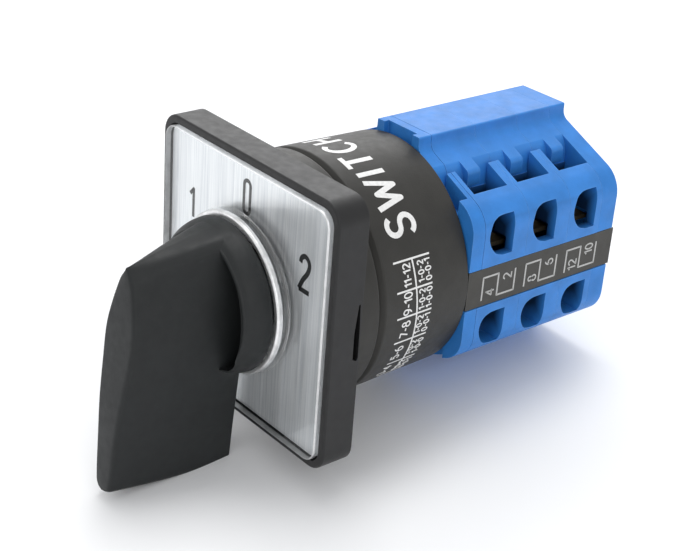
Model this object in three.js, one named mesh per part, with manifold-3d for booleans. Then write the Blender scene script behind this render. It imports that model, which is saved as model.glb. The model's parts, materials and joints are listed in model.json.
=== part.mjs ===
// A rotary cam switch for a control panel: three switching stages, twelve screw terminals and a
// 48 mm square front plate with a 1-0-2 dial. Millimetres, +Z up. The turning axis is Y, the handle
// points to -Y, and the origin is on the axis in the back face of the front plate, which is the
// face that lies on the panel.
import * as THREE from 'three';
import { mergeVertices } from 'three/addons/utils/BufferGeometryUtils.js';
import Module from 'manifold-3d';

const wasm = await Module();
wasm.setup();

// ---- driving dimensions -------------------------------------------------------------------

const GAP = 0.3;                 // clearance between pieces that rest on each other
const EPS = 0.5;                 // how far a cutter runs past the face it opens

const PLATE = 48;                // side of the square front plate
const PLATE_DEPTH = 6;
const PLATE_RIM = 1.5;           // width of the rim round the clear cover
const PLATE_CORNER = 3.8;
const PLATE_FLOOR = 4.4;         // depth of material behind the dial
const PANEL_SCREW_SPAN = 36;     // square of the four panel screw holes
const PANEL_SCREW_BORE = 2.25;   // their radius

const COVER_PROUD = 0.8;         // how far the clear cover stands in front of the plate's rim
const COVER_THICK = 1.2;
const COLLAR_R = 14.1;           // raised clear ring round the handle's hub
const COLLAR_WALL = 1.0;
const DIAL_THICK = 0.6;
const SPIGOT_R = 8.5;            // handle's spigot, which turns in the front plate
const SPIGOT_BACK = -1;
const SPIGOT_BORE = SPIGOT_R + 0.4;
const BEZEL_SCREW_Z = 13;        // two screws join the front plate and the mounting ring
const BEZEL_SCREW = { headR: 2.8, headFront: -4.3, headBack: -2.5, end: 5.4 };
const GASKET = { inner: 17, outer: 20, thick: 0.9 };

const HUB_R = 13.4;              // handle hub
const HUB_BACK = -9.2;
const HUB_FRONT = -14;
const HUB_RIM = 12.1;            // radius of the hub's front face, inside its rounded edge
const HUB_FLOOR = 1.5;           // depth of material behind the two pockets beside the blade
const HUB_POCKET = [             // outer edge of a pocket, as x, z, from its top to its square end
  [4.3, 11.2], [6.4, 10.1], [8.2, 8.6], [9.6, 6.0], [10.3, 2.0], [10.35, -2.0], [10.0, -6.0],
  [9.2, -9.6], [8.8, -10.9],
];
const HUB_POCKET_IN = 3;         // the pocket's inner edge, inside the blade

const SHAFT = 5;                 // side of the square shaft
const SHAFT_HOLE = SHAFT + 2 * GAP;
const SHAFT_FRONT = -20;
const SHAFT_CLEAR_R = 4.2;       // hole for the shaft in the blue slices
const CLIP = { front: -16.8, middle: -9, back: -1.8, bow: 0.35, thick: 0.45, width: 4 };

const RING_R = 21.8;             // mounting ring behind the panel
const RING_BACK = 6;
const RING_BORE = 6.5;
const RING_WALL = 2.4;
const RING_WEB = 2.6;
const HOUSING_FRONT = RING_BACK + GAP;
const HOUSING_BACK = 26;
const HOUSING_R_FRONT = 21.7;    // the moulding tapers to the back
const HOUSING_R_BACK = 21.2;
const HOUSING_WALL = 2.4;
const HOUSING_WEB = 2.2;
const HOUSING_BORE = 5;

const STAGES = 3;
const PITCH = 10.4;              // depth of one switching stage
const BASE_FRONT = HOUSING_BACK + GAP;
const STAGE_FRONT = 29.2;
const CAP_FRONT = 58.4;          // the end cap closes the last stage's pockets
const CAP_BACK = 62.4;

const BLOCK_X = 20.9;            // half width of the blue block
const BLOCK_Z = 22.6;            // half height over the raised flats
const FLAT_X = 5.5;              // half width of a raised flat
const SLOPE_TOP = [7.4, 19.3];   // the slope that carries the screw pockets, as x, z
const SLOPE_END = [16.6, 15.2];
const CORNER_END_Z = 10.4;       // where the rounded corner meets the side

const WEB = 1.2;                 // front wall of a stage
const CHAMBER_X = 19.1;          // half width of the contact chamber
const CHAMBER_Z = 7.2;
const CAM_CHAMBER_R = 8.3;
const POCKET_IN = 9.0;           // screw pocket, from the axis outwards
const POCKET_OUT = 16.2;
const POCKET_FRONT = 0.9;        // its front and back, from the stage's front face
const POCKET_BACK = 8.8;
const ROLL = [                   // the rounded shoulder between a raised flat and the pockets
  [8.3, 18.9], [9.5, 18.1], [10.3, 16.9], [10.7, 15.2],
];
const RIB_FRONT = 28.2;          // front of the first rib, set back from the block's front
const TONGUE_W = 2.9;
const TONGUE_END = 11.3;
const TONGUE_LOW = 14.6;
const TOP_NOTCH = { x: 3.7, depth: 1.1 };   // notch in the front edge of a raised flat

const WIRE_FRONT = 1.15;         // wire entry, from the stage's front face
const WIRE_BACK = 7.25;
const WIRE_LOW = 5.3;
const WIRE_HIGH = 12.5;

const SCREW_X = 13.4;            // terminal clamp screw
const SCREW_TOP = 11.6;
const SCREW_HEAD_R = 2.5;
const SADDLE_LOW = 9.2;
const TERMINAL_LOW = 5.6;
const TERMINAL_THICK = 0.8;
const TERMINAL_END = 18.4;

const STRIP_TOP = 3.2;           // marker strip on each side
const STRIP_BOTTOM = -4.0;
const STRIP_OUT = 20.8;
const STRIP_IN = 19.9;

const BOLT_Z = 16.5;             // tie bolts above and below the axis
const BOLT_R = 1.5;              // radius of every screw's shank
const BOLT_HEAD_R = 2.7;
const BOLT_FRONT = 14.5;
const BOSS_R = 3.2;              // the housing's bosses for the tie bolts
const SCREW_CLEARANCE = 1.8;
const SLOT_HALF = 0.4;           // half width of a screw's slot
const SLOT_DEPTH = 0.9;

const CAM_R = 6.0;               // cam radius under a plunger at rest
const CAM_DEPTH = 6.3;
const TURN = 60;                 // the handle turns this many degrees each way
const STROKE = 1.0;              // plunger travel over that turn
const PLUNGER_Z = 2.0;
const LEG_IN = 9.6;              // fixed contact leg
const LEG_OUT = 10.4;
const LEG_LOW = 3.2;
const CONTACT_MIDDLE = 4.8;      // middle of the contacts, from the stage's front face
const BRIDGE_Z = 5.2;
const BRIDGE_IN = 11.7;          // moving contact bridge
const BRIDGE_OUT = 12.4;
const PLUNGER_END = 14.6;
const SPRING_END = 17.7;

const WHEEL_FRONT = 12;          // detent wheel
const WHEEL_BACK = 17;
const WHEEL_TIP_R = 8.6;
const WHEEL_ROOT_R = 6.8;
const WHEEL_NOTCHES = 12;
const FOLLOWER_END = 13.4;
const DETENT_SPRING_END = 18;
const GUIDE_Z = 3.4;             // inner face of the guide rails above and below a follower
const GUIDE_THICK = 1.4;
const GUIDE_START = 10;

// ---- materials ----------------------------------------------------------------------------

const finish = (color, roughness, metalness = 0) => ({ color, roughness, metalness });
const FINISH = {
  handle: finish(0x2b2d2f, 0.62),
  bezel: finish(0x1f2021, 0.6),
  clear: finish(0xf2f5f7, 0.08),
  dial: finish(0xc3c8cc, 0.32, 1),
  rubber: finish(0x18181a, 0.85),
  housing: finish(0x3a3a37, 0.58),
  blue: finish(0x3f7fd6, 0.48),
  strip: finish(0x44443f, 0.55),
  nylon: finish(0xe7e3d6, 0.5),
  red: finish(0xb23a2c, 0.5),
  steel: finish(0xb7babd, 0.3, 1),
  brass: finish(0xc9a24c, 0.34, 1),
  copper: finish(0xb87748, 0.35, 1),
};

// ---- closed solids ------------------------------------------------------------------------

// Welds a geometry, drops its flat triangles and turns it outwards, as a manifold solid.
function solid(geometry) {
  const bare = geometry.clone();
  bare.deleteAttribute('normal');
  bare.deleteAttribute('uv');
  const welded = mergeVertices(bare, 1e-4);
  const points = welded.attributes.position;
  const kept = [];
  let volume = 0;
  const [a, b, c] = [new THREE.Vector3(), new THREE.Vector3(), new THREE.Vector3()];
  for (let i = 0; i < welded.index.count; i += 3) {
    const [ia, ib, ic] = [0, 1, 2].map((k) => welded.index.getX(i + k));
    if (ia === ib || ib === ic || ic === ia) continue;
    kept.push([ia, ib, ic]);
    a.fromBufferAttribute(points, ia);
    b.fromBufferAttribute(points, ib);
    c.fromBufferAttribute(points, ic);
    volume += a.dot(b.cross(c));
  }
  const faces = volume < 0 ? kept.map(([p, q, r]) => [p, r, q]) : kept;
  return new wasm.Manifold(new wasm.Mesh({
    numProp: 3,
    vertProperties: new Float32Array(points.array),
    triVerts: new Uint32Array(faces.flat()),
  }));
}

const join = (first, ...rest) => rest.reduce((whole, piece) => whole.add(piece), first);
const cut = (first, ...rest) => rest.reduce((whole, tool) => whole.subtract(tool), first);

function geometryOf(body) {
  const mesh = body.getMesh();
  const geometry = new THREE.BufferGeometry();
  geometry.setAttribute('position', new THREE.BufferAttribute(new Float32Array(mesh.vertProperties), 3));
  geometry.setIndex(new THREE.BufferAttribute(new Uint32Array(mesh.triVerts), 1));
  geometry.computeVertexNormals();
  return geometry;
}

// A box between two corners.
function box([x0, y0, z0], [x1, y1, z1]) {
  const geometry = new THREE.BoxGeometry(x1 - x0, y1 - y0, z1 - z0);
  geometry.translate((x0 + x1) / 2, (y0 + y1) / 2, (z0 + z1) / 2);
  return solid(geometry);
}

// An outline in the X-Z plane, pushed from y0 to y1.
function prism(shape, y0, y1, curveSegments = 6) {
  const geometry = new THREE.ExtrudeGeometry(shape, { depth: y1 - y0, bevelEnabled: false, curveSegments });
  geometry.rotateX(Math.PI / 2);
  geometry.translate(0, y1, 0);
  return solid(geometry);
}

// A cylinder along Y.
function rod(radius, y0, y1, x = 0, z = 0, sides = 20) {
  const geometry = new THREE.CylinderGeometry(radius, radius, y1 - y0, sides);
  geometry.translate(x, (y0 + y1) / 2, z);
  return solid(geometry);
}

// A profile of radius, y pairs turned round the Y axis.
function turned(profile, sides = 48) {
  const closed = [...profile, profile[0]].map(([r, y]) => new THREE.Vector2(r, y));
  return solid(new THREE.LatheGeometry(closed, sides));
}

// A rectangle with round corners, as an outline in the X-Z plane.
function roundedSquare(half, corner) {
  const straight = half - corner;
  const shape = new THREE.Shape();
  shape.moveTo(half, -straight);
  shape.lineTo(half, straight);
  shape.absarc(straight, straight, corner, 0, Math.PI / 2);
  shape.lineTo(-straight, half);
  shape.absarc(-straight, straight, corner, Math.PI / 2, Math.PI);
  shape.lineTo(-half, -straight);
  shape.absarc(-straight, -straight, corner, Math.PI, Math.PI * 1.5);
  shape.lineTo(straight, -half);
  shape.absarc(straight, -straight, corner, Math.PI * 1.5, Math.PI * 2);
  return shape;
}

// Turns an outline in local x, y, pushed along local z, so that it lies in Y-Z and runs along X.
const ALONG_X = new THREE.Matrix4().makeBasis(
  new THREE.Vector3(0, 1, 0), new THREE.Vector3(0, 0, 1), new THREE.Vector3(1, 0, 0));

const polygon = (points) => new THREE.Shape(points.map(([x, z]) => new THREE.Vector2(x, z)));

// The four quarters of the switch, as signs of x and z.
const CORNERS = [-1, 1].flatMap((side) => [-1, 1].map((up) => [side, up]));

// Mirrors an interval of x for the left side.
const across = (side, near, far) => (side > 0 ? [near, far] : [-far, -near]);

// Mirrors an interval of z for the lower half.
const upright = (up, low, high) => (up > 0 ? [low, high] : [-high, -low]);

// Bores for the two tie bolts.
const boltHoles = (y0, y1) => [-1, 1].map((up) => {
  return rod(SCREW_CLEARANCE, y0 - EPS, y1 + EPS, 0, up * BOLT_Z, 12);
});

// A coil spring along X, from x0 to x1, round the point y, z.
function coil(x0, x1, y, z, coilRadius, wireRadius, turns) {
  class Helix extends THREE.Curve {
    getPoint(t) {
      const angle = turns * 2 * Math.PI * t;
      const x = x0 + wireRadius + (x1 - x0 - 2 * wireRadius) * t;
      return new THREE.Vector3(x, y + coilRadius * Math.cos(angle), z + coilRadius * Math.sin(angle));
    }
  }
  const section = new THREE.Shape();
  section.absarc(0, 0, wireRadius, 0, Math.PI * 2);
  const options = { steps: turns * 8, extrudePath: new Helix(), curveSegments: 3, bevelEnabled: false };
  return solid(new THREE.ExtrudeGeometry(section, options));
}

// ---- front of the switch ------------------------------------------------------------------

// The blade of the handle as a stack of levels from its top to the end of its tail. Each level has
// a front edge and a base edge, each as a height z and a half width w; the sides run straight
// between them.
const BLADE_BACK = -9.5;        // the tail's back face, clear of the cover
const BLADE_LEVELS = [
  { front: { z: 9.6, w: 0.3, y: -28.3 }, base: { z: 13.0, w: 3.4 } },
  { front: { z: 8.6, w: 1.1, y: -28.4 }, base: { z: 12.2, w: 5.2 } },
  { front: { z: 6.7, w: 2.1, y: -28.6 }, base: { z: 9.5, w: 5.9 } },
  { front: { z: 2.1, w: 3.5, y: -29.2 }, base: { z: 3.5, w: 6.2 } },
  { front: { z: -2.0, w: 4.2, y: -29.75 }, base: { z: -2.0, w: 6.2 } },
  { front: { z: -7.4, w: 4.0, y: -30.5 }, base: { z: -8.0, w: 5.9 } },
  { front: { z: -13.8, w: 3.4, y: -31.6 }, base: { z: -14.5, w: 5.2 } },
  { front: { z: -27.6, w: 2.5, y: -33.0 }, base: { z: -28.8, w: 3.5 } },
  { front: { z: -30.5, w: 1.9, y: -33.1 }, base: { z: -31.5, w: 2.9 } },
];

function blade() {
  const corners = BLADE_LEVELS.flatMap(({ front, base }) => [
    [-front.w, front.y, front.z],
    [front.w, front.y, front.z],
    [base.w, BLADE_BACK, base.z],
    [-base.w, BLADE_BACK, base.z],
  ]);
  const last = (BLADE_LEVELS.length - 1) * 4;
  const faces = [[0, 1, 2], [0, 2, 3], [last, last + 2, last + 1], [last, last + 3, last + 2]];
  for (let level = 0; level < last; level += 4) {
    for (let side = 0; side < 4; side += 1) {
      const [p, q] = [level + side, level + (side + 1) % 4];
      faces.push([p, p + 4, q], [q, p + 4, q + 4]);
    }
  }
  const geometry = new THREE.BufferGeometry();
  geometry.setAttribute('position', new THREE.Float32BufferAttribute(corners.flat(), 3));
  geometry.setIndex(faces.flat());
  return solid(geometry);
}

function handle() {
  const round = HUB_R - HUB_RIM;
  const edge = [0, 1, 2, 3].map((step) => {
    const angle = step * Math.PI / 6;
    return [HUB_RIM + round * Math.cos(angle), HUB_FRONT + round - round * Math.sin(angle)];
  });
  const hub = turned([[0, HUB_BACK], [HUB_R, HUB_BACK], ...edge, [0, HUB_FRONT]], 48);
  const pockets = [-1, 1].map((side) => {
    const [[, top], [, bottom]] = [HUB_POCKET[0], HUB_POCKET[HUB_POCKET.length - 1]];
    const outline = [...HUB_POCKET, [HUB_POCKET_IN, bottom], [HUB_POCKET_IN, top]];
    const placed = polygon(outline.map(([x, z]) => [side * x, z]));
    return prism(placed, HUB_FRONT - EPS, HUB_BACK - HUB_FLOOR);
  });
  const spigot = rod(SPIGOT_R, HUB_BACK - EPS, SPIGOT_BACK, 0, 0, 32);
  const half = SHAFT_HOLE / 2;
  const socket = box([-half, SHAFT_FRONT - GAP, -half], [half, 0, half]);
  const grooveHalf = CLIP.width / 2 + GAP;
  const grooveTop = half + CLIP.bow + CLIP.thick + GAP;
  const clipGroove = box([-grooveHalf, CLIP.front - EPS, half - EPS], [grooveHalf, 0, grooveTop]);
  return cut(join(cut(hub, ...pockets), blade(), spigot), socket, clipGroove);
}

// A leaf of spring steel in the handle's socket, bowed against the shaft.
function handleSpringClip() {
  const low = SHAFT_HOLE / 2 + 0.02;
  const bowed = [[CLIP.front, low + CLIP.bow], [CLIP.middle, low], [CLIP.back, low + CLIP.bow]];
  const outer = [...bowed].reverse().map(([y, z]) => [y, z + CLIP.thick]);
  const options = { depth: CLIP.width, bevelEnabled: false };
  const geometry = new THREE.ExtrudeGeometry(polygon([...bowed, ...outer]), options);
  geometry.applyMatrix4(ALONG_X);
  geometry.translate(-CLIP.width / 2, 0, 0);
  return solid(geometry);
}

const COVER_BACK = -PLATE_DEPTH - COVER_PROUD + COVER_THICK;
const COVER_HALF = PLATE / 2 - PLATE_RIM - GAP;
const COVER_CORNER = PLATE_CORNER - PLATE_RIM;

function clearCover() {
  const front = -PLATE_DEPTH - COVER_PROUD;
  const sheet = prism(roundedSquare(COVER_HALF, COVER_CORNER), front, COVER_BACK);
  const bevelled = sheet.intersect(join(
    prism(roundedSquare(COVER_HALF, COVER_CORNER), front + 0.6, COVER_BACK),
    prism(roundedSquare(COVER_HALF - 0.6, COVER_CORNER - 0.3), front, front + 0.6 + GAP),
  ));
  const collarFront = HUB_BACK + GAP;
  const collar = turned([
    [COLLAR_R - COLLAR_WALL, collarFront],
    [COLLAR_R - 0.2, collarFront],
    [COLLAR_R, collarFront + 0.3],
    [COLLAR_R + 0.2, COVER_BACK],
    [COLLAR_R - COLLAR_WALL, COVER_BACK],
  ], 40);
  return cut(join(bevelled, collar), rod(SPIGOT_BORE, front - EPS, COVER_BACK + EPS, 0, 0, 32));
}

const DIAL_FRONT = COVER_BACK + GAP;

function dialPlate() {
  const back = DIAL_FRONT + DIAL_THICK;
  const sheet = prism(roundedSquare(COVER_HALF, COVER_CORNER), DIAL_FRONT, back);
  return cut(sheet, rod(SPIGOT_BORE, DIAL_FRONT - EPS, back + EPS, 0, 0, 32));
}

function bezel() {
  const chamfer = 0.9;
  const full = roundedSquare(PLATE / 2, PLATE_CORNER);
  const narrow = roundedSquare(PLATE / 2 - chamfer, PLATE_CORNER - chamfer);
  const body = join(
    prism(full, -PLATE_DEPTH + chamfer, 0),
    prism(narrow, -PLATE_DEPTH, -PLATE_DEPTH + chamfer + GAP),
  );
  const recess = prism(
    roundedSquare(COVER_HALF + GAP, COVER_CORNER + GAP), -PLATE_DEPTH - EPS, -PLATE_FLOOR);
  const groove = turned([
    [GASKET.inner - GAP, -GASKET.thick - GAP],
    [GASKET.outer + GAP, -GASKET.thick - GAP],
    [GASKET.outer + GAP, EPS],
    [GASKET.inner - GAP, EPS],
  ]);
  const panelScrews = [-1, 1].flatMap((sx) => [-1, 1].map((sz) => rod(
    PANEL_SCREW_BORE, -PLATE_DEPTH, EPS, sx * PANEL_SCREW_SPAN / 2, sz * PANEL_SCREW_SPAN / 2, 16)));
  const ownScrews = [-1, 1].flatMap((sz) => [
    rod(SCREW_CLEARANCE, -PLATE_DEPTH, EPS, 0, sz * BEZEL_SCREW_Z, 12),
    rod(BEZEL_SCREW.headR + GAP, -PLATE_DEPTH, BEZEL_SCREW.headBack + GAP, 0, sz * BEZEL_SCREW_Z, 16),
  ]);
  const prySlot = box([PLATE / 2 - 1.2, -0.9, -3.7], [PLATE / 2 + EPS, EPS, 6.2]);
  const bore = rod(SPIGOT_BORE, -PLATE_DEPTH, EPS, 0, 0, 32);
  return cut(body, recess, groove, ...panelScrews, ...ownScrews, prySlot, bore);
}

// A slotted screw along Y, with its head at the front.
function bezelScrew(up) {
  const { headR, headFront, headBack, end } = BEZEL_SCREW;
  const z = up * BEZEL_SCREW_Z;
  const head = rod(headR, headFront, headBack, 0, z, 16);
  const shank = rod(BOLT_R, headBack - EPS, end, 0, z, 12);
  const slot = box(
    [-headR - EPS, headFront - EPS, z - SLOT_HALF],
    [headR + EPS, headFront + SLOT_DEPTH, z + SLOT_HALF],
  );
  return cut(join(head, shank), slot);
}

const gasket = () => turned([
  [GASKET.inner, -GASKET.thick],
  [GASKET.outer, -GASKET.thick],
  [GASKET.outer, 0],
  [GASKET.inner, 0],
]);

function mountingRing() {
  const ring = turned([
    [RING_BORE, RING_BACK - RING_WEB],
    [RING_R - RING_WALL, RING_BACK - RING_WEB],
    [RING_R - RING_WALL, GAP],
    [RING_R, GAP],
    [RING_R, RING_BACK - 0.6],
    [RING_R - 0.6, RING_BACK],
    [RING_BORE, RING_BACK],
  ]);
  const bores = [-1, 1].map((sz) => rod(SCREW_CLEARANCE, 0, RING_BACK + EPS, 0, sz * BEZEL_SCREW_Z, 12));
  return cut(ring, ...bores);
}

// ---- housing and detent -------------------------------------------------------------------

function housing() {
  const inner = HOUSING_R_BACK - HOUSING_WALL;
  const cup = turned([
    [HOUSING_BORE, HOUSING_FRONT],
    [HOUSING_R_FRONT - 1.2, HOUSING_FRONT],
    [HOUSING_R_FRONT, HOUSING_FRONT + 1.2],
    [HOUSING_R_BACK, HOUSING_BACK - 0.4],
    [HOUSING_R_BACK - 0.4, HOUSING_BACK],
    [inner, HOUSING_BACK],
    [inner, HOUSING_FRONT + HOUSING_WEB],
    [HOUSING_BORE, HOUSING_FRONT + HOUSING_WEB],
  ]);
  const webBack = HOUSING_FRONT + HOUSING_WEB;
  const bosses = [-1, 1].map((sz) => rod(BOSS_R, webBack - EPS, HOUSING_BACK, 0, sz * BOLT_Z, 16));
  const rails = CORNERS.map(([side, up]) => {
    const [x0, x1] = across(side, GUIDE_START, inner - 0.2);
    const [z0, z1] = upright(up, GUIDE_Z, GUIDE_Z + GUIDE_THICK);
    return box([x0, webBack - EPS, z0], [x1, WHEEL_BACK + 1, z1]);
  });
  return cut(join(cup, ...bosses, ...rails), ...boltHoles(BOLT_FRONT, HOUSING_BACK));
}

// A wheel with a notch every 30 degrees, turned with the shaft.
function detentWheel() {
  const outline = [];
  const perNotch = 4;
  for (let i = 0; i < WHEEL_NOTCHES * perNotch; i += 1) {
    const turn = i / (WHEEL_NOTCHES * perNotch) * 2 * Math.PI;
    const height = (1 - Math.cos(WHEEL_NOTCHES * turn)) / 2;
    const radius = WHEEL_ROOT_R + (WHEEL_TIP_R - WHEEL_ROOT_R) * height;
    outline.push([radius * Math.cos(turn), radius * Math.sin(turn)]);
  }
  return cut(prism(polygon(outline), WHEEL_FRONT, WHEEL_BACK), squareHole(WHEEL_FRONT, WHEEL_BACK));
}

function squareHole(y0, y1) {
  const half = SHAFT_HOLE / 2;
  return box([-half, y0 - EPS, -half], [half, y1 + EPS, half]);
}

// A sliding follower with a rounded nose that faces the detent wheel.
function detentFollower(side) {
  const nose = WHEEL_TIP_R + GAP;
  const middle = (WHEEL_FRONT + WHEEL_BACK) / 2;
  const outline = polygon([
    [nose, -0.5], [nose, 0.5], [nose + 1.2, 2.2],
    [nose + 1.4, GUIDE_Z - GAP], [FOLLOWER_END, GUIDE_Z - GAP],
    [FOLLOWER_END, -GUIDE_Z + GAP], [nose + 1.4, -GUIDE_Z + GAP], [nose + 1.2, -2.2],
  ].map(([x, z]) => [side * x, z]));
  return prism(outline, middle - 2, middle + 2);
}

function detentSpring(side) {
  const middle = (WHEEL_FRONT + WHEEL_BACK) / 2;
  const [x0, x1] = across(side, FOLLOWER_END + GAP, DETENT_SPRING_END - 1.6);
  return coil(x0, x1, middle, 0, 1.7, 0.25, 3);
}

function driveShaft() {
  const half = SHAFT / 2;
  return box([-half, SHAFT_FRONT, -half], [half, CAP_BACK, half]);
}

// ---- the blue block -----------------------------------------------------------------------

// The block's outline, the same on all four quarters: raised flat, slope, rounded corner, side.
function blockOutline() {
  const [slopeX, slopeZ] = SLOPE_END;
  const quarter = [
    [BLOCK_X, CORNER_END_Z],
    [BLOCK_X - 0.4, 12.1],
    [BLOCK_X - 1.5, 13.7],
    [slopeX + 1.1, slopeZ - 0.5],
    [slopeX, slopeZ],
    SLOPE_TOP,
    [FLAT_X + 0.7, 20.0],
    [FLAT_X, 21.0],
    [FLAT_X, BLOCK_Z],
  ];
  const back = [...quarter].reverse();
  return polygon([
    ...quarter,
    ...back.map(([x, z]) => [-x, z]),
    ...quarter.map(([x, z]) => [-x, -z]),
    ...back.map(([x, z]) => [x, -z]),
  ]);
}

// The grooves for the marker strips on both sides of a slice.
const stripGrooves = (y0, y1) => [-1, 1].map((side) => {
  const [x0, x1] = across(side, STRIP_IN - GAP, BLOCK_X + EPS);
  return box([x0, y0 - EPS, STRIP_BOTTOM - GAP], [x1, y1 + EPS, STRIP_TOP + GAP]);
});

// One plain slice of the block, with its grooves, bolt holes and shaft hole.
function slice(y0, y1, shaftHoleRadius) {
  return cut(
    prism(blockOutline(), y0, y1),
    ...stripGrooves(y0, y1),
    ...boltHoles(y0, y1),
    rod(shaftHoleRadius, y0 - EPS, y1 + EPS, 0, 0, 20),
  );
}

// Cutters that round the shoulders over the pockets, between the ribs.
const rolls = (y0, y1) => CORNERS.map(([side, up]) => {
  const over = [[ROLL.at(-1)[0], BLOCK_Z], [ROLL[0][0], BLOCK_Z]];
  return prism(polygon([...ROLL, ...over].map(([x, z]) => [side * x, up * z])), y0 - EPS, y1 + EPS);
});

// The first slice of the block. Its slopes start behind the round housing, and its raised flats
// are notched.
function basePlate() {
  const back = STAGE_FRONT - GAP;
  const steps = CORNERS.map(([side, up]) => {
    const [x0, x1] = across(side, ROLL.at(-1)[0], SLOPE_END[0]);
    const [z0, z1] = upright(up, SLOPE_END[1] - 3, BLOCK_Z);
    return box([x0, BASE_FRONT - EPS, z0], [x1, RIB_FRONT, z1]);
  });
  const notches = [-1, 1].map((up) => {
    const [z0, z1] = upright(up, 19.6, BLOCK_Z + EPS);
    return box([-TOP_NOTCH.x, BASE_FRONT - EPS, z0], [TOP_NOTCH.x, BASE_FRONT + TOP_NOTCH.depth, z1]);
  });
  return cut(slice(BASE_FRONT, back, SHAFT_CLEAR_R), ...rolls(BASE_FRONT, back), ...steps, ...notches);
}

const endCap = () => slice(CAP_FRONT, CAP_BACK, SHAFT_CLEAR_R);

// The D-shaped wire entry: straight at the back, round at the front.
function wireEntry(side, up, front, back) {
  const [bottom, top] = upright(up, WIRE_LOW, WIRE_HIGH);
  const shape = new THREE.Shape();
  shape.moveTo(back, bottom);
  shape.lineTo(back, top);
  shape.bezierCurveTo(front + 2.2, top, front, top - 1.6, front, bottom + 2.4);
  shape.bezierCurveTo(front, bottom + 0.8, front + 0.9, bottom, front + 2.2, bottom);
  const [x0, x1] = across(side, POCKET_OUT - 1, BLOCK_X + EPS);
  const options = { depth: x1 - x0, bevelEnabled: false, curveSegments: 4 };
  const geometry = new THREE.ExtrudeGeometry(shape, options);
  geometry.applyMatrix4(ALONG_X);
  geometry.translate(x0, 0, 0);
  return solid(geometry);
}

function stageBody(index) {
  const front = STAGE_FRONT + index * PITCH;
  const back = (index < STAGES - 1 ? front + PITCH : CAP_FRONT) - GAP;
  const chamber = box([-CHAMBER_X, front + WEB, -CHAMBER_Z], [CHAMBER_X, back + EPS, CHAMBER_Z]);
  const camChamber = rod(CAM_CHAMBER_R, front + WEB, back + EPS, 0, 0, 24);
  const pockets = CORNERS.map(([side, up]) => {
    const [x0, x1] = across(side, POCKET_IN, POCKET_OUT);
    const [z0, z1] = upright(up, CHAMBER_Z - EPS, BLOCK_Z);
    return box([x0, front + POCKET_FRONT, z0], [x1, front + POCKET_BACK, z1]);
  });
  const entries = CORNERS.map(([side, up]) => wireEntry(side, up, front + WIRE_FRONT, front + WIRE_BACK));
  const shell = cut(
    prism(blockOutline(), front, back),
    chamber, camChamber, ...pockets, ...rolls(front, back), ...entries,
    ...stripGrooves(front, back),
    ...boltHoles(front, back),
    rod(SHAFT_CLEAR_R, front - EPS, back, 0, 0, 20),
  );
  const middle = front + (POCKET_FRONT + POCKET_BACK) / 2;
  const slopeAt = (x) => {
    const [[x0, z0], [x1, z1]] = [SLOPE_TOP, SLOPE_END];
    return z0 + (z1 - z0) * (x - x0) / (x1 - x0);
  };
  const tongues = CORNERS.map(([side, up]) => prism(polygon([
    [SLOPE_TOP[0], slopeAt(SLOPE_TOP[0])],
    [TONGUE_END - 0.7, slopeAt(TONGUE_END - 0.7)],
    [TONGUE_END, slopeAt(TONGUE_END) - 0.8],
    [TONGUE_END, TONGUE_LOW],
    [SLOPE_TOP[0], TONGUE_LOW],
  ].map(([x, z]) => [side * x, up * z])), middle - TONGUE_W / 2, middle + TONGUE_W / 2));
  return join(shell, ...tongues);
}

// A heart-shaped cam: its radius falls evenly from the bottom to the top on both sides, so a
// plunger on either side moves evenly as it turns.
function cam(index) {
  const front = STAGE_FRONT + index * PITCH + WEB + GAP;
  const back = front + CAM_DEPTH;
  const steps = 24;
  const outline = [];
  for (let i = 0; i < steps; i += 1) {
    const turn = i / steps * 2 * Math.PI;
    const height = Math.asin(Math.sin(turn)) * 180 / Math.PI;
    const radius = CAM_R - STROKE * height / TURN;
    outline.push([radius * Math.cos(turn), radius * Math.sin(turn)]);
  }
  return cut(prism(polygon(outline), front, back), squareHole(front, back));
}

// The middle of a stage's contacts along the axis.
const contactY = (index) => STAGE_FRONT + index * PITCH + CONTACT_MIDDLE;

// The plunger that the cam moves: a nose, a window for the bridge, and a seat for the spring.
function plunger(index, side) {
  const y = contactY(index);
  const nose = CAM_R + GAP;
  const outline = polygon([
    [nose, -0.6], [nose, 0.6], [nose + 0.9, PLUNGER_Z], [PLUNGER_END, PLUNGER_Z],
    [PLUNGER_END, -PLUNGER_Z], [nose + 0.9, -PLUNGER_Z],
  ].map(([x, z]) => [side * x, z]));
  const [x0, x1] = across(side, BRIDGE_IN - GAP, BRIDGE_OUT + 0.9);
  const window = box([x0, y - 1.3, -PLUNGER_Z - EPS], [x1, y + 1.3, PLUNGER_Z + EPS]);
  return cut(prism(outline, y - 2.2, y + 2.2), window);
}

// The moving bridge with a contact button at each end.
function contactBridge(index, side) {
  const y = contactY(index);
  const [x0, x1] = across(side, BRIDGE_IN, BRIDGE_OUT);
  const bar = box([x0, y - 1, -BRIDGE_Z], [x1, y + 1, BRIDGE_Z]);
  const buttons = [-1, 1].map((up) => {
    const [b0, b1] = across(side, BRIDGE_IN - 0.25, BRIDGE_IN + 0.2);
    return box([b0, y - 0.8, up * 4.2 - 0.8], [b1, y + 0.8, up * 4.2 + 0.8]);
  });
  return join(bar, ...buttons);
}

function contactSpring(index, side) {
  const [x0, x1] = across(side, PLUNGER_END + GAP, SPRING_END);
  return coil(x0, x1, contactY(index), 0, 1.5, 0.2, 3);
}

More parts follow.
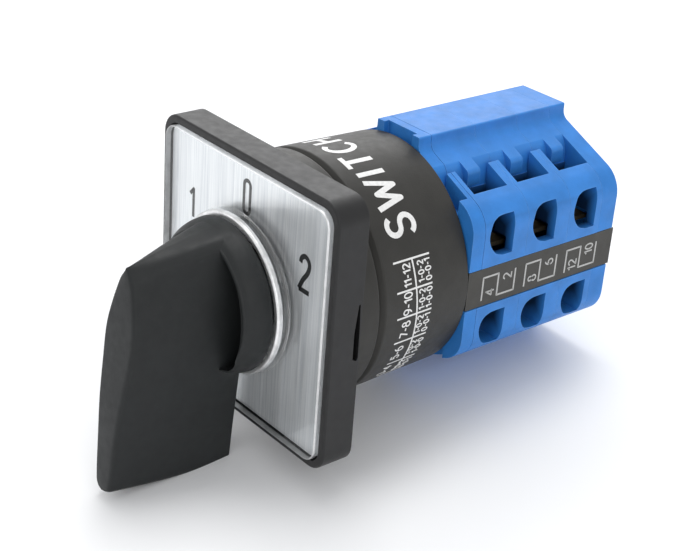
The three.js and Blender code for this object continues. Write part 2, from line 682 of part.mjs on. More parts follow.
// A fixed contact with its terminal plate and the clamp screw threaded into it.
function terminal(index, side, up) {
  const front = STAGE_FRONT + index * PITCH;
  const screwX = side * SCREW_X;
  const screwY = front + (POCKET_FRONT + POCKET_BACK) / 2;
  const slab = ([near, far], [y0, y1], [low, high]) => {
    const [x0, x1] = across(side, near, far);
    const [z0, z1] = upright(up, low, high);
    return box([x0, front + y0, z0], [x1, front + y1, z1]);
  };
  const plate = slab([LEG_IN, TERMINAL_END], [1.6, 7.5], [TERMINAL_LOW, TERMINAL_LOW + TERMINAL_THICK]);
  const leg = slab([LEG_IN, LEG_OUT], [3.2, 6.4], [LEG_LOW, TERMINAL_LOW + TERMINAL_THICK / 2]);
  const stud = (radius, low, high, sides) => {
    const geometry = new THREE.CylinderGeometry(radius, radius, high - low, sides);
    geometry.rotateX(Math.PI / 2);
    geometry.translate(screwX, screwY, up * (low + high) / 2);
    return solid(geometry);
  };
  const shank = stud(BOLT_R, TERMINAL_LOW + TERMINAL_THICK / 2, SADDLE_LOW + EPS, 10);
  const head = stud(SCREW_HEAD_R, SADDLE_LOW, SCREW_TOP, 16);
  const [slotLow, slotHigh] = upright(up, SCREW_TOP - SLOT_DEPTH, SCREW_TOP + EPS);
  const slot = box(
    [screwX - SCREW_HEAD_R - EPS, screwY - SLOT_HALF, slotLow],
    [screwX + SCREW_HEAD_R + EPS, screwY + SLOT_HALF, slotHigh],
  );
  return cut(join(plate, leg, shank, head), slot);
}

function markerStrip(side) {
  const [x0, x1] = across(side, STRIP_IN, STRIP_OUT);
  return box([x0, BASE_FRONT + 0.1, STRIP_BOTTOM], [x1, CAP_BACK + 0.5, STRIP_TOP]);
}

// A tie bolt along the axis, with its head behind the end cap.
function tieBolt(up) {
  const z = up * BOLT_Z;
  const [headFront, headBack] = [CAP_BACK + GAP, CAP_BACK + 1.9];
  const head = rod(BOLT_HEAD_R, headFront, headBack, 0, z, 16);
  const shank = rod(BOLT_R, BOLT_FRONT, headFront + EPS, 0, z, 12);
  const slot = box(
    [-BOLT_HEAD_R - EPS, headBack - SLOT_DEPTH, z - SLOT_HALF],
    [BOLT_HEAD_R + EPS, headBack + EPS, z + SLOT_HALF],
  );
  return cut(join(head, shank), slot);
}

// ---- assembly -----------------------------------------------------------------------------

const group = new THREE.Group();

function add(name, body, look) {
  const { color, roughness, metalness } = look;
  const material = new THREE.MeshStandardMaterial({ color, roughness, metalness });
  const mesh = new THREE.Mesh(geometryOf(body), material);
  mesh.name = name;
  group.add(mesh);
}

const SIDES = { left: -1, right: 1 };

add('handle', handle(), FINISH.handle);
add('handle_spring_clip', handleSpringClip(), FINISH.steel);
add('clear_cover', clearCover(), FINISH.clear);
add('dial_plate', dialPlate(), FINISH.dial);
add('bezel', bezel(), FINISH.bezel);
add('bezel_screw_top', bezelScrew(1), FINISH.steel);
add('bezel_screw_bottom', bezelScrew(-1), FINISH.steel);
add('panel_gasket', gasket(), FINISH.rubber);
add('mounting_ring', mountingRing(), FINISH.housing);
add('housing', housing(), FINISH.housing);
add('detent_wheel', detentWheel(), FINISH.nylon);
add('drive_shaft', driveShaft(), FINISH.steel);
for (const [side, sign] of Object.entries(SIDES)) {
  add(`detent_follower_${side}`, detentFollower(sign), FINISH.nylon);
  add(`detent_spring_${side}`, detentSpring(sign), FINISH.steel);
}
add('base_plate', basePlate(), FINISH.blue);
for (let stage = 0; stage < STAGES; stage += 1) {
  const number = stage + 1;
  add(`stage_body_${number}`, stageBody(stage), FINISH.blue);
  add(`cam_${number}`, cam(stage), FINISH.red);
  for (const [side, sign] of Object.entries(SIDES)) {
    add(`plunger_${number}_${side}`, plunger(stage, sign), FINISH.nylon);
    add(`contact_bridge_${number}_${side}`, contactBridge(stage, sign), FINISH.copper);
    add(`contact_spring_${number}_${side}`, contactSpring(stage, sign), FINISH.steel);
    add(`terminal_${number}_${side}_upper`, terminal(stage, sign, 1), FINISH.brass);
    add(`terminal_${number}_${side}_lower`, terminal(stage, sign, -1), FINISH.brass);
  }
}
add('end_cap', endCap(), FINISH.blue);
for (const [side, sign] of Object.entries(SIDES)) {
  add(`marker_strip_${side}`, markerStrip(sign), FINISH.strip);
}
add('tie_bolt_top', tieBolt(1), FINISH.steel);
add('tie_bolt_bottom', tieBolt(-1), FINISH.steel);

export default group;
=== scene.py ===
import json
import math

import bmesh
import bpy
import numpy as np
from mathutils import Matrix, Vector


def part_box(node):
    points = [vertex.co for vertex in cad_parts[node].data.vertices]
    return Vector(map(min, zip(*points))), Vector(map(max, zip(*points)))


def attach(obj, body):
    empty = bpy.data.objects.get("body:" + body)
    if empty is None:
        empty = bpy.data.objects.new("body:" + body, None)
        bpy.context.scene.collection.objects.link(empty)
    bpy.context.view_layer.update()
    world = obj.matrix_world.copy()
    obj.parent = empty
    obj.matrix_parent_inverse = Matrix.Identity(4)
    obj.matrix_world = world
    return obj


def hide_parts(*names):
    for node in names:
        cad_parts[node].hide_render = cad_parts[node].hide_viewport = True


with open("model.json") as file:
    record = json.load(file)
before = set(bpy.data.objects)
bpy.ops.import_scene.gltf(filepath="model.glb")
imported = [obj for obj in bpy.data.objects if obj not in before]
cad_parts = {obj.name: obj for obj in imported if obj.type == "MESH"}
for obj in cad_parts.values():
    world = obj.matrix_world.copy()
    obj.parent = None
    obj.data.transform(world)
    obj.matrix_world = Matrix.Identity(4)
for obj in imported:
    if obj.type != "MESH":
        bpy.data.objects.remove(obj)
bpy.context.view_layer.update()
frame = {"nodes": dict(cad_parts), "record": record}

MM = 0.001
BODY = "switch_body"
ROTOR = "rotor"

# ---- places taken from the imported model, in millimetres ----------------------------------------


def span(node, axis):
    """Where a CAD node starts and ends along an axis."""
    low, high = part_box(node)
    return low[axis] / MM, high[axis] / MM


X, Y, Z = 0, 1, 2
PLATE_HALF = span("bezel", X)[1]
PLATE_FRONT = span("bezel", Y)[0]
COVER_HALF = span("clear_cover", X)[1]
COLLAR_FRONT = span("clear_cover", Y)[0]
COVER_BACK = span("clear_cover", Y)[1]
DIAL_FRONT = span("dial_plate", Y)[0]
RING_FRONT, RING_BACK = span("mounting_ring", Y)
RING_R = span("mounting_ring", X)[1]
HOUSING_FRONT, HOUSING_BACK = span("housing", Y)
HOUSING_R = span("housing", X)[1]
BASE_FRONT = span("base_plate", Y)[0]
CAP_FRONT, CAP_BACK = span("end_cap", Y)
BLOCK_X = span("end_cap", X)[1]
BLOCK_Z = span("end_cap", Z)[1]
STAGES = (1, 2, 3)
STAGE_FRONTS = [span(f"stage_body_{k}", Y)[0] for k in STAGES]
STRIP_IN, STRIP_OUT = span("marker_strip_right", X)
STRIP_LOW, STRIP_HIGH = span("marker_strip_right", Z)
SIDES = {"left": -1, "right": 1}
ROWS = {"upper": 1, "lower": -1}
CORNERS = [(side, up) for side in SIDES.values() for up in ROWS.values()]
BOLT_Z = 16.5                   # the two long bolts that hold the block together
PLATE_SCREW_Z = 13              # the two screws that hold the plate to the neck
PANEL_HOLE = 18                 # the plate's four panel holes, from the middle
PANEL_HOLE_R = 2.25
SCREW_HEAD_R = 3.1
SCREW_R = 1.8
SHAFT_HOLE_R = 4.2
SLOPE = ((7.4, 19.3), (16.6, 15.2))       # two points on the block's sloping top face, as x, z
LEAN = 0.446                    # how far that face falls for each mm outwards

# ---- outlines ----------------------------------------------------------------------------------


def oval(cx, cy, rx, ry, start, end, steps=16):
    """Points on an oval arc, from start to end in degrees."""
    angles = np.radians(np.linspace(start, end, steps + 1))
    return [(cx + rx * math.cos(a), cy + ry * math.sin(a)) for a in angles]


def arc(cx, cy, radius, start, end, steps=8):
    """Points on a round arc, from start to end in degrees."""
    return oval(cx, cy, radius, radius, start, end, steps)


def rounded(corners, steps=8):
    """A closed outline from (u, v, radius) corners, each turned into an arc of that radius."""
    outline = []
    count = len(corners)
    for i, (u, v, radius) in enumerate(corners):
        here = Vector((u, v))
        before = (Vector(corners[i - 1][:2]) - here).normalized()
        after = (Vector(corners[(i + 1) % count][:2]) - here).normalized()
        if radius <= 0:
            outline.append((u, v))
            continue
        half = before.angle(after) / 2
        reach = radius / math.tan(half)
        centre = here + (before + after).normalized() * radius / math.sin(half)
        first = here + before * reach - centre
        last = here + after * reach - centre
        for k in range(steps + 1):
            point = centre + first.slerp(last, k / steps) * radius
            outline.append((point.x, point.y))
    return outline


def square(half, radius):
    """A square outline with rounded corners."""
    corners = [(half, -half), (half, half), (-half, half), (-half, -half)]
    return rounded([(u, v, radius) for u, v in corners])


def smooth(points, steps=6):
    """A Catmull-Rom curve through the given points, in any number of dimensions."""
    knots = [np.array(p, float) for p in points]
    knots = [2 * knots[0] - knots[1], *knots, 2 * knots[-1] - knots[-2]]
    curve = []
    for a, b, c, d in zip(knots, knots[1:], knots[2:], knots[3:]):
        for k in range(steps):
            t = k / steps
            bend = (2 * a - 5 * b + 4 * c - d) * t ** 2 + (3 * b - a - 3 * c + d) * t ** 3
            curve.append(0.5 * (2 * b + (c - a) * t + bend))
    curve.append(knots[-2])
    return curve


# ---- solids, built in millimetres ----------------------------------------------------------------

PLACES = {
    "X": lambda u, v, w: (w, u, v),
    "Y": lambda u, v, w: (u, w, v),
    "Z": lambda u, v, w: (u, v, w),
}


def new_object(name, bm):
    bmesh.ops.remove_doubles(bm, verts=bm.verts, dist=1e-5)
    bmesh.ops.recalc_face_normals(bm, faces=bm.faces)
    mesh = bpy.data.meshes.new(name)
    bm.to_mesh(mesh)
    bm.free()
    obj = bpy.data.objects.new(name, mesh)
    bpy.context.scene.collection.objects.link(obj)
    return obj


def prism(outline, low, high, axis="Y"):
    """An outline pushed from low to high along an axis."""
    bm = bmesh.new()
    place = PLACES[axis]
    rings = [[bm.verts.new(place(u, v, w)) for u, v in outline] for w in (low, high)]
    for ring in rings:
        bm.faces.new(ring)
    for i in range(len(outline)):
        j = (i + 1) % len(outline)
        bm.faces.new((rings[0][i], rings[0][j], rings[1][j], rings[1][i]))
    return new_object("prism", bm)


def stack(levels):
    """Outlines with the same number of points, each at its own depth, joined into one solid."""
    bm = bmesh.new()
    rings = [[bm.verts.new((u, y, v)) for u, v in outline] for outline, y in levels]
    bm.faces.new(rings[0])
    bm.faces.new(rings[-1])
    for near, far in zip(rings, rings[1:]):
        for i in range(len(near)):
            j = (i + 1) % len(near)
            bm.faces.new((near[i], near[j], far[j], far[i]))
    return new_object("stack", bm)


def slab(half, corner, front, back, edge):
    """A square plate whose front edge is rounded."""
    levels = [(square(half, corner), back)]
    for inset, rise in arc(edge, edge, edge, 180, 90, 5):
        levels.append((square(half - inset, max(corner - inset, 0.2)), front + edge - (rise - edge)))
    return stack(levels)


def box(x, y, z):
    """A box from three (low, high) pairs."""
    return prism([(x[0], z[0]), (x[1], z[0]), (x[1], z[1]), (x[0], z[1])], *y)


def lathe(profile, steps=128):
    """A closed profile of (radius, y) points turned round the Y axis."""
    bm = bmesh.new()
    rings = [[None] * len(profile) for _ in range(steps)]
    for i, (r, y) in enumerate(profile):
        shared = bm.verts.new((0, y, 0)) if r == 0 else None
        for k in range(steps):
            a = 2 * math.pi * k / steps
            rings[k][i] = shared or bm.verts.new((r * math.cos(a), y, r * math.sin(a)))
    for k in range(steps):
        ring, following = rings[k], rings[(k + 1) % steps]
        for i in range(len(profile)):
            j = (i + 1) % len(profile)
            corners = []
            for vert in (ring[i], ring[j], following[j], following[i]):
                if vert not in corners:
                    corners.append(vert)
            if len(corners) > 2:
                bm.faces.new(corners)
    return new_object("lathe", bm)


def rod(radius, y0, y1, x=0, z=0, steps=32):
    """A round rod along Y, from y0 to y1."""
    return prism([(x + u, z + v) for u, v in arc(0, 0, radius, 0, 360, steps)[:-1]], y0, y1)


def apply_modifiers(obj):
    bpy.context.view_layer.update()
    done = bpy.data.meshes.new_from_object(obj.evaluated_get(bpy.context.evaluated_depsgraph_get()))
    obj.modifiers.clear()
    old = obj.data
    obj.data = done
    bpy.data.meshes.remove(old)
    return obj


def combine(obj, tools, operation):
    """Joins the tools to a piece, or cuts them out of it, and removes them."""
    for tool in tools:
        step = obj.modifiers.new("step", "BOOLEAN")
        step.operation = operation
        step.solver = "EXACT"
        step.object = tool
        apply_modifiers(obj)
        bpy.data.objects.remove(tool)
    return obj


def cut(obj, *tools):
    return combine(obj, tools, "DIFFERENCE")


def join(obj, *tools):
    return combine(obj, tools, "UNION")


def bevel(obj, width, steps=3, angle=30):
    """Rounds the edges that are sharper than the angle."""
    step = obj.modifiers.new("edges", "BEVEL")
    step.width = width
    step.segments = steps
    step.limit_method = "ANGLE"
    step.angle_limit = math.radians(angle)
    step.miter_outer = "MITER_ARC"
    step.use_clamp_overlap = True
    return apply_modifiers(obj)


def settle(obj, name, slot, replaced=(), body=BODY, sharp=35):
    """Names a finished piece, smooths it, scales it to metres and puts it on its body."""
    obj.name = name
    obj.data.name = name
    for poly in obj.data.polygons:
        poly.use_smooth = True
    obj.data.set_sharp_from_angle(angle=math.radians(sharp))
    step = obj.modifiers.new("normals", "WEIGHTED_NORMAL")
    step.keep_sharp = True
    step.weight = 80
    apply_modifiers(obj)
    obj.data.transform(Matrix.Scale(MM, 4))
    obj.data.materials.clear()
    obj.data.materials.append(MATERIALS[slot])
    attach(obj, body)
    if replaced:
        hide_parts(*replaced)
    return obj


# ---- materials -----------------------------------------------------------------------------------


class Shader:
    """A Principled material with helpers for the nodes that vary it."""

    def __init__(self, name, color, roughness, metallic=0.0):
        self.material = bpy.data.materials.new(name)
        self.material.use_nodes = True
        self.tree = self.material.node_tree
        self.main = self.tree.nodes["Principled BSDF"]
        self.main.inputs["Base Color"].default_value = (*color, 1)
        self.main.inputs["Roughness"].default_value = roughness
        self.main.inputs["Metallic"].default_value = metallic
        self.place = self.tree.nodes.new("ShaderNodeTexCoord").outputs["Object"]

    def node(self, kind, **settings):
        made = self.tree.nodes.new(kind)
        for key, value in settings.items():
            setattr(made, key, value)
        return made

    def link(self, a, b):
        self.tree.links.new(a, b)

    def noise(self, scale, detail=3, stretch=(1, 1, 1)):
        """Noise in object space. Its scale is in features per metre, divided along an axis by stretch."""
        mapping = self.node("ShaderNodeMapping")
        mapping.inputs["Scale"].default_value = [1 / s for s in stretch]
        self.link(self.place, mapping.inputs["Vector"])
        made = self.node("ShaderNodeTexNoise")
        made.inputs["Scale"].default_value = scale
        made.inputs["Detail"].default_value = detail
        self.link(mapping.outputs["Vector"], made.inputs["Vector"])
        return made.outputs["Fac"]

    def between(self, factor, low, high, start=0.3, end=0.7):
        """A number that goes from low to high as factor goes from start to end."""
        made = self.node("ShaderNodeMapRange")
        for key, value in zip(("From Min", "From Max", "To Min", "To Max"), (start, end, low, high)):
            made.inputs[key].default_value = value
        self.link(factor, made.inputs["Value"])
        return made.outputs["Result"]

    def blend(self, factor, first, second):
        """A colour between two, by factor. first may be a colour or another node's output."""
        made = self.node("ShaderNodeMix", data_type="RGBA")
        if isinstance(first, tuple):
            made.inputs["A"].default_value = (*first, 1)
        else:
            self.link(first, made.inputs["A"])
        made.inputs["B"].default_value = (*second, 1)
        self.link(factor, made.inputs["Factor"])
        return made.outputs["Result"]

    def edges(self, radius):
        """1 on an edge, fading out within the radius, and 0 on flat faces."""
        soft = self.node("ShaderNodeBevel", samples=4)
        soft.inputs["Radius"].default_value = radius
        geometry = self.node("ShaderNodeNewGeometry")
        dot = self.node("ShaderNodeVectorMath", operation="DOT_PRODUCT")
        self.link(soft.outputs["Normal"], dot.inputs[0])
        self.link(geometry.outputs["Normal"], dot.inputs[1])
        return self.between(dot.outputs["Value"], 1, 0, 0.9, 0.995)

    def bump(self, height, depth):
        """Raises the surface by height times depth, in metres."""
        made = self.node("ShaderNodeBump")
        made.inputs["Strength"].default_value = 1
        made.inputs["Distance"].default_value = depth
        self.link(height, made.inputs["Height"])
        self.link(made.outputs["Normal"], self.main.inputs["Normal"])


EDGE_WEAR = 0.0003              # how far from an edge plastic is rubbed, in metres
GRAIN = 0.00002                 # how deep its grain is


def plastic_shader(name, color, light, roughness, grain_scale=5200, wear=0.25, shine=0.4):
    """Moulded plastic: fine grain, slow shifts of tone and gloss, and edges rubbed a little lighter."""
    s = Shader(name, color, roughness)
    s.main.inputs["Specular IOR Level"].default_value = shine
    cloudy = s.noise(260, 4)
    tone = s.blend(s.between(cloudy, 0, 1), tuple(c * 0.9 for c in color), tuple(c * 1.1 for c in color))
    rubbed = s.node("ShaderNodeMath", operation="MULTIPLY")
    s.link(s.edges(EDGE_WEAR), rubbed.inputs[0])
    s.link(s.between(s.noise(900, 3), wear * 0.4, wear), rubbed.inputs[1])
    s.link(s.blend(rubbed.outputs["Value"], tone, light), s.main.inputs["Base Color"])
    s.link(s.between(s.noise(700, 3), roughness - 0.05, roughness + 0.05), s.main.inputs["Roughness"])
    s.bump(s.noise(grain_scale, 2), GRAIN)
    return s


def plastic(name, color, light, roughness, **more):
    """The same, as a finished material."""
    return plastic_shader(name, color, light, roughness, **more).material


# Painted shade in the stages' pockets and wire entries: how far out the stages' plastic goes from painted
# shade to its own colour, in metres, under the sloping faces and beside the side walls. Nearer the middle
# plane than the last of these three it always has its own colour.
SHADE_FADE_SLOPE = (0.0172, 0.0212)
SHADE_FADE_SIDE = (0.0186, 0.0208)
UNSHADED_MIDDLE = (0.0108, 0.01095)


def deep_shaded_plastic(name, color, light, roughness, wear):
    """Moulded plastic of a stage, with painted shade: it gets dark where it lies deep in the pockets and
    wire entries.
    """
    s = plastic_shader(name, color, light, roughness, wear=wear)
    split = s.node("ShaderNodeSeparateXYZ")
    s.link(s.place, split.inputs["Vector"])
    sides = []
    for axis in ("X", "Z"):
        size = s.node("ShaderNodeMath", operation="ABSOLUTE")
        s.link(split.outputs[axis], size.inputs[0])
        sides.append(size.outputs["Value"])
    leaning = s.node("ShaderNodeMath", operation="MULTIPLY_ADD")
    s.link(sides[0], leaning.inputs[0])
    leaning.inputs[1].default_value = LEAN
    s.link(sides[1], leaning.inputs[2])
    wall = s.node("ShaderNodeMath", operation="MAXIMUM")
    s.link(s.between(leaning.outputs["Value"], 0, 1, *SHADE_FADE_SLOPE), wall.inputs[0])
    s.link(s.between(sides[0], 0, 1, *SHADE_FADE_SIDE), wall.inputs[1])
    shown = s.node("ShaderNodeMath", operation="MAXIMUM")
    s.link(wall.outputs["Value"], shown.inputs[0])
    s.link(s.between(sides[0], 1, 0, *UNSHADED_MIDDLE), shown.inputs[1])
    before = s.main.inputs["Base Color"].links[0].from_socket
    # painted shade: a tenth of the plastic's colour, laid deep in the pockets and wire entries
    shade_mix = s.node("ShaderNodeMix", data_type="RGBA")
    shade_mix.inputs["A"].default_value = (*(c * 0.1 for c in color), 1)
    s.link(before, shade_mix.inputs["B"])
    s.link(shown.outputs["Value"], shade_mix.inputs["Factor"])
    s.link(shade_mix.outputs["Result"], s.main.inputs["Base Color"])
    return s.material


def metal(name, color, roughness):
    """Plain metal with a fine uneven tone, gloss and height."""
    s = Shader(name, color, roughness, 1.0)
    lines = s.noise(3000, 3)
    dark = tuple(c * 0.8 for c in color)
    s.link(s.blend(s.between(lines, 0, 1), dark, color), s.main.inputs["Base Color"])
    s.link(s.between(s.noise(500, 3), roughness - 0.07, roughness + 0.1), s.main.inputs["Roughness"])
    s.bump(lines, 0.000004)
    return s.material


def brushed_dial():
    """Aluminium brushed up and down: long fine streaks in tone, gloss and height."""
    s = Shader("dial_aluminium", (0.9, 0.91, 0.93), 0.3, 0.75)
    fine = s.noise(2600, 4, (1, 1, 60))
    broad = s.noise(420, 3, (1, 1, 40))
    tone = s.blend(s.between(fine, 0, 1, 0.35, 0.65), (0.72, 0.74, 0.77), (0.96, 0.97, 0.98))
    streaks = s.blend(s.between(broad, 0, 0.5, 0.35, 0.7), tone, (0.95, 0.96, 0.98))
    s.link(streaks, s.main.inputs["Base Color"])
    s.link(s.between(broad, 0.3, 0.42), s.main.inputs["Roughness"])
    s.bump(fine, 0.000006)
    s.main.inputs["Anisotropic"].default_value = 0.6
    return s.material


def clear_plastic(name="clear_plastic", milky=0.0):
    """A thin clear sheet: it lets light straight through, and mirrors a little, more at the rim.
    Milky plastic mirrors more, as the light caught inside a thick rim does."""
    s = Shader(name, (0.9, 0.93, 0.95), 0.06)
    tree = s.tree
    tree.nodes.remove(s.main)
    through = s.node("ShaderNodeBsdfTransparent")
    through.inputs["Color"].default_value = (0.995, 1, 1, 1)
    mirror = s.node("ShaderNodeBsdfGlossy")
    mirror.inputs["Color"].default_value = (1, 1, 1, 1)
    mirror.inputs["Roughness"].default_value = 0.4 if milky else 0.08
    fresnel = s.node("ShaderNodeFresnel")
    fresnel.inputs["IOR"].default_value = 1.5
    outside = s.node("ShaderNodeMath", operation="MULTIPLY")
    geometry = s.node("ShaderNodeNewGeometry")
    s.link(fresnel.outputs["Fac"], outside.inputs[0])
    s.link(s.between(geometry.outputs["Backfacing"], 1, 0, 0, 1), outside.inputs[1])
    mix = s.node("ShaderNodeMixShader")
    scuffs = s.between(s.noise(420, 4), milky * 0.75, milky, 0.4, 0.6)
    more = s.node("ShaderNodeMath", operation="MAXIMUM")
    s.link(outside.outputs["Value"], more.inputs[0])
    s.link(scuffs, more.inputs[1])
    rubbed = s.node("ShaderNodeMath", operation="MAXIMUM")
    s.link(more.outputs["Value"], rubbed.inputs[0])
    s.link(s.between(s.edges(0.0004), 0, 0.3, 0, 1), rubbed.inputs[1])
    s.link(rubbed.outputs["Value"], mix.inputs["Fac"])
    s.link(through.outputs["BSDF"], mix.inputs[1])
    s.link(mirror.outputs["BSDF"], mix.inputs[2])
    s.link(mix.outputs["Shader"], tree.nodes["Material Output"].inputs["Surface"])
    return s.material


def paint(name, color):
    """Printing ink, a little thinner in places."""
    s = Shader(name, color, 0.45)
    thin = tuple(c * 0.85 for c in color)
    s.link(s.blend(s.between(s.noise(1800, 3), 0, 1), thin, color), s.main.inputs["Base Color"])
    return s.material


BLUE = (0.03, 0.205, 0.6)                   # the block's plastic, and the same where it is rubbed
BLUE_WORN = (0.2, 0.45, 0.85)
MATERIALS = {
    "handle_plastic": plastic(
        "handle_plastic", (0.0115, 0.0132, 0.0138), (0.06, 0.06, 0.065), 0.52, wear=0.12, shine=0.35),
    "bezel_plastic": plastic("bezel_plastic", (0.013, 0.013, 0.0135), (0.07, 0.07, 0.07), 0.46, wear=0.2),
    "clear_plastic": clear_plastic(),
    "bright_clear": clear_plastic("bright_clear", 0.9),
    "edge_clear": clear_plastic("edge_clear", 0.55),
    "dial_aluminium": brushed_dial(),
    "gasket_rubber": plastic("gasket_rubber", (0.02, 0.02, 0.02), (0.04, 0.04, 0.04), 0.8, grain_scale=3000),
    "housing_plastic": plastic(
        "housing_plastic", (0.032, 0.031, 0.028), (0.12, 0.118, 0.11), 0.46, wear=0.2, shine=0.3),
    "blue_plastic": plastic("blue_plastic", BLUE, BLUE_WORN, 0.48, wear=0.3, shine=0.3),
    "stage_plastic": deep_shaded_plastic("stage_plastic", BLUE, BLUE_WORN, 0.48, 0.3),
    "strip_plastic": plastic("strip_plastic", (0.045, 0.043, 0.038), (0.15, 0.15, 0.14), 0.5),
    "nylon": plastic("nylon", (0.8, 0.77, 0.68), (0.9, 0.88, 0.82), 0.45),
    "cam_plastic": plastic("cam_plastic", (0.45, 0.05, 0.03), (0.6, 0.15, 0.1), 0.45),
    "steel": metal("steel", (0.6, 0.6, 0.61), 0.3),
    # brass far darker than bare brass: partly tarnish, partly painted shade for the terminals deep in the
    # pockets
    "brass": metal("brass", (0.08, 0.062, 0.036), 0.5),
    "contact_alloy": metal("contact_alloy", (0.72, 0.42, 0.24), 0.35),
    "white_print": paint("white_print", (0.85, 0.85, 0.84)),
    "grey_print": paint("grey_print", (0.5, 0.5, 0.49)),
    "dark_print": paint("dark_print", (0.012, 0.012, 0.013)),
}

# ---- handle --------------------------------------------------------------------------------------

HUB_BACK = COLLAR_FRONT - 0.3
HUB_FRONT = -14.0
HUB_R = 13.4
HUB_RIM = 12.0                  # radius where the rounded edge meets the hub's front
POCKET_FLOOR = -10.3
SPIGOT_R = 8.5                  # the spigot that turns in the plate, and where it ends
SPIGOT_BACK = -1
SHAFT_FIT = 2.8                 # half width of the hole that fits over the shaft
TAIL_BACK = -9.5                # depth of the blade's back face
BLADE_FRONT = [                 # half width, height and depth down the edge of the front face
    (0.0, 9.7, -28.3), (0.5, 9.2, -28.3), (1.15, 8.3, -28.4), (2.1, 6.7, -28.6),
    (3.5, 2.1, -29.2), (4.2, -2.0, -29.75), (4.0, -7.4, -30.5), (3.4, -13.8, -31.5),
    (2.8, -20.5, -32.2), (2.35, -27.2, -32.75), (1.9, -29.6, -32.85), (0.0, -30.1, -32.85),
]
BLADE_BACK = [                  # half width and height down the edge of the back face
    (0.0, 13.3), (2.6, 13.15), (4.4, 12.55), (5.6, 10.6),
    (6.2, 4.6), (6.25, -2.0), (5.95, -8.0), (5.2, -14.5),
    (4.35, -21.6), (3.6, -28.8), (3.1, -31.2), (0.0, -31.6),
]


def toward(corner, other, reach):
    """The point at reach from a corner toward another, at most half of the way."""
    way = other - corner
    length = np.linalg.norm(way)
    return corner + way * min(reach, 0.5 * length) / (length + 1e-9)


def round_corner(before, corner, after, reach, steps=6):
    """Points on a curve that rounds a corner, starting and ending at reach from it."""
    first = toward(corner, before, reach)
    last = toward(corner, after, reach)
    shares = np.linspace(0, 1, steps + 1)
    return [(1 - t) ** 2 * first + 2 * t * (1 - t) * corner + t ** 2 * last for t in shares]


def blade():
    """Both halves of the lever, from rings of points that run round it from front to back."""
    fronts = smooth(BLADE_FRONT)
    backs = smooth([(w, z, TAIL_BACK) for w, z in BLADE_BACK])
    rows = []
    for i, (f, b) in enumerate(zip(fronts, backs)):
        front = np.array((max(f[0], 0), f[2], f[1]))
        back = np.array((max(b[0], 0), b[2], b[1]))
        centre = np.array((0, f[2] - 0.15, f[1]))
        rear = np.array((0, b[2], b[1]))
        ahead = backs[min(i + 1, len(backs) - 1)] - backs[max(i - 1, 0)]
        outward = np.array((-ahead[1], 0, ahead[0]))
        outward /= np.linalg.norm(outward)
        side = []
        for t in np.linspace(0, 1, 13)[1:-1]:
            side.append(front + (back - front) * t + outward * 0.3 * 4 * t * (1 - t))
        around = [centre, *round_corner(centre, front, side[0], 0.9), *side]
        around += [*round_corner(side[-1], back, rear, 0.5), rear]
        if i in (0, len(fronts) - 1):
            around = [np.array((0, p[1], p[2])) for p in around]
        rows.append(around)
    bm = bmesh.new()
    for sign in (1, -1):
        grid = [[bm.verts.new((sign * p[0], p[1], p[2])) for p in row] for row in rows]
        for upper, lower in zip(grid, grid[1:]):
            for k in range(len(upper) - 1):
                bm.faces.new((upper[k], upper[k + 1], lower[k + 1], lower[k]))
    bmesh.ops.remove_doubles(bm, verts=bm.verts, dist=1e-4)
    bmesh.ops.dissolve_degenerate(bm, dist=1e-4, edges=bm.edges)
    return new_object("handle", bm)


POCKET_INNER = 3                # the pockets' inner edge, inside the blade
POCKET_RIM = [                  # the pocket's outer edge, as x, z, from its top
    (4.0, 10.7), (6.2, 9.6), (8.2, 7.9), (9.9, 5.5), (10.9, 2.0),
    (11.1, -2.0), (10.3, -5.6), (8.7, -8.6), (7.0, -10.2),
]


def pocket(side):
    """The deep crescent between the blade and the hub's rim, with a square lower end."""
    outline = [(side * x, z) for x, z in smooth(POCKET_RIM, 4)]
    outline += [(side * POCKET_INNER, -10.4), (side * POCKET_INNER, 10.9)]
    return prism(outline, HUB_FRONT - 1, POCKET_FLOOR)


def make_handle():
    profile = [(0, SPIGOT_BACK), (SPIGOT_R, SPIGOT_BACK), (SPIGOT_R, HUB_BACK)]
    profile += [(HUB_R - 0.25, HUB_BACK), (HUB_R, HUB_BACK - 0.25)]
    profile += smooth([(HUB_R, -9.8), (13.2, -11.2), (12.7, -12.7), (HUB_RIM, -13.65)], 4)
    profile += arc(HUB_RIM - 0.35, HUB_FRONT + 0.35, 0.35, 0, -90, 5)
    profile += [(0, HUB_FRONT)]
    hub = lathe(profile)
    cut(hub, *[bevel(pocket(side), 0.25, 2, 60) for side in SIDES.values()])
    join(hub, blade())
    cut(hub, box((-SHAFT_FIT, SHAFT_FIT), (-20.3, 0), (-SHAFT_FIT, SHAFT_FIT)))
    settle(hub, "lever_handle", "handle_plastic", ["handle"], ROTOR, sharp=38)


make_handle()

# ---- front plate, cover and dial -------------------------------------------------------------------

CORNER = 3.8
SPIGOT_BORE = 8.9
PLATE_FLOOR = -4.4              # depth of the recess that holds the dial
SCREW_SEAT = -2.2               # depth of the two screw heads' seats
GROOVE = (16.7, 20.3)           # the gasket's groove, its radii and its depth
GROOVE_FLOOR = -1.2
PRY_SLOT = [                    # the slot in the plate's side, as y, z
    (-0.8, 6.2), (-0.5, 6.4), (-0.3, 2.5), (-0.2, -3.3), (-0.5, -3.9), (-1.3, -3.5), (-1.35, 1.2),
]
COVER_EDGE = COVER_HALF + 0.3


